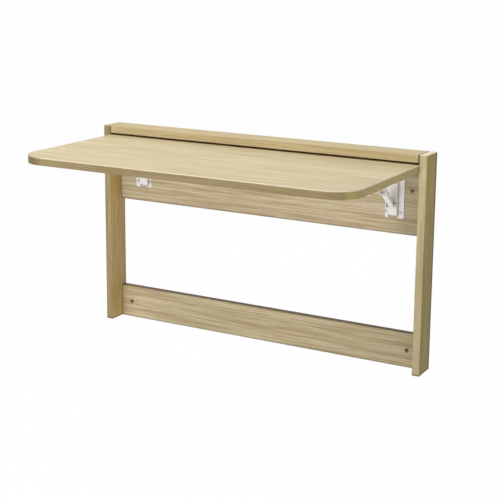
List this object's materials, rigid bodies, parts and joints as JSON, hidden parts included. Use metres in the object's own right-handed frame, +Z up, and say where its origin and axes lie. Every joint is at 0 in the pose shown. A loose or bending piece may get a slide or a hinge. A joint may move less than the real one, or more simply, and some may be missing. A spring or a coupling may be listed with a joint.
{
  "type": "wall-mounted folding table",
  "caption": "Wall-mounted folding table: a shallow board frame with a drop leaf on two folding steel brackets; the leaf hangs inside the frame when folded.",
  "frame": {"origin": "centre of the four wall-screw holes, on the wall plane (the back face of both rails)", "axes": "+X to the right along the wall, +Y into the wall, +Z up"},
  "size_m": [0.835, 0.408, 0.49],
  "materials": {
    "oak_board": "light oak-look melamine-faced board, satin",
    "oak_edge": "oak-look plastic edge band, satin",
    "beech_dowel": "raw turned beech",
    "white_steel": "white powder coat, semi-gloss",
    "white_rivet": "white painted rivet",
    "zinc_steel": "zinc-plated steel",
    "zinc_alloy": "cast zinc, dull",
    "zinc_screw": "zinc-plated screw heads"
  },
  "bodies": {
    "frame": {"left_post": "oak_board", "right_post": "oak_board", "cap_board": "oak_board", "back_rail": "oak_board", "bottom_rail": "oak_board", "dowels": "beech_dowel", "cam_bolts": "zinc_steel", "cam_locks": "zinc_alloy", "left_wall_leg": "white_steel", "left_hinge_pin": "white_rivet", "left_hinge_washers": "zinc_steel", "left_foot_pin": "white_rivet", "left_leg_screws": "zinc_screw", "right_wall_leg": "white_steel", "right_hinge_pin": "white_rivet", "right_hinge_washers": "zinc_steel", "right_foot_pin": "white_rivet", "right_leg_screws": "zinc_screw"},
    "leaf": {"leaf_panel": "oak_board", "leaf_edge_band": "oak_edge", "left_shelf_arm": "white_steel", "left_toe_pin": "white_rivet", "left_toe_bushes": "zinc_steel", "left_lever_pin": "white_rivet", "left_lever_springs": "zinc_steel", "left_arm_screws": "zinc_screw", "right_shelf_arm": "white_steel", "right_toe_pin": "white_rivet", "right_toe_bushes": "zinc_steel", "right_lever_pin": "white_rivet", "right_lever_springs": "zinc_steel", "right_arm_screws": "zinc_screw"},
    "left_fork": {"left_brace_fork": "white_steel", "left_middle_rivet": "white_rivet"},
    "left_link": {"left_brace_link": "white_steel", "left_middle_bush": "white_rivet"},
    "left_lever": {"left_release_lever": "white_steel"},
    "right_fork": {"right_brace_fork": "white_steel", "right_middle_rivet": "white_rivet"},
    "right_link": {"right_brace_link": "white_steel", "right_middle_bush": "white_rivet"},
    "right_lever": {"right_release_lever": "white_steel"}
  },
  "joints": [
    {"name": "leaf_fold", "type": "hinge", "parent": "frame", "child": "leaf", "pos_m": [0, -0.03, 0.21775], "axis": [1, 0, 0], "range_deg": [0, 90]},
    {"name": "left_fork_fold", "type": "hinge", "parent": "leaf", "child": "left_fork", "pos_m": [-0.3275, -0.126, 0.22395], "axis": [1, 0, 0], "range_deg": [0, 38.48]},
    {"name": "left_link_fold", "type": "hinge", "parent": "frame", "child": "left_link", "pos_m": [-0.3275, -0.0304, 0.148], "axis": [-1, 0, 0], "range_deg": [0, 44.62]},
    {"name": "left_lever_pull", "type": "hinge", "parent": "leaf", "child": "left_lever", "pos_m": [-0.3275, -0.152, 0.21875], "axis": [-1, 0, 0], "range_deg": [0, 15], "stiffness_Nm_per_rad": 0.3, "springref_deg": -6.88},
    {"name": "right_fork_fold", "type": "hinge", "parent": "leaf", "child": "right_fork", "pos_m": [0.3275, -0.126, 0.22395], "axis": [1, 0, 0], "range_deg": [0, 38.48]},
    {"name": "right_link_fold", "type": "hinge", "parent": "frame", "child": "right_link", "pos_m": [0.3275, -0.0304, 0.148], "axis": [-1, 0, 0], "range_deg": [0, 44.62]},
    {"name": "right_lever_pull", "type": "hinge", "parent": "leaf", "child": "right_lever", "pos_m": [0.3275, -0.152, 0.21875], "axis": [-1, 0, 0], "range_deg": [0, 15], "stiffness_Nm_per_rad": 0.3, "springref_deg": -6.88}
  ],
  "couplings": [
    {"joint": "left_fork_fold", "follows": "leaf_fold", "ratio": 0.4274},
    {"joint": "left_link_fold", "follows": "leaf_fold", "ratio": 0.49565},
    {"joint": "right_fork_fold", "follows": "leaf_fold", "ratio": 0.4274},
    {"joint": "right_link_fold", "follows": "leaf_fold", "ratio": 0.49565}
  ]
}
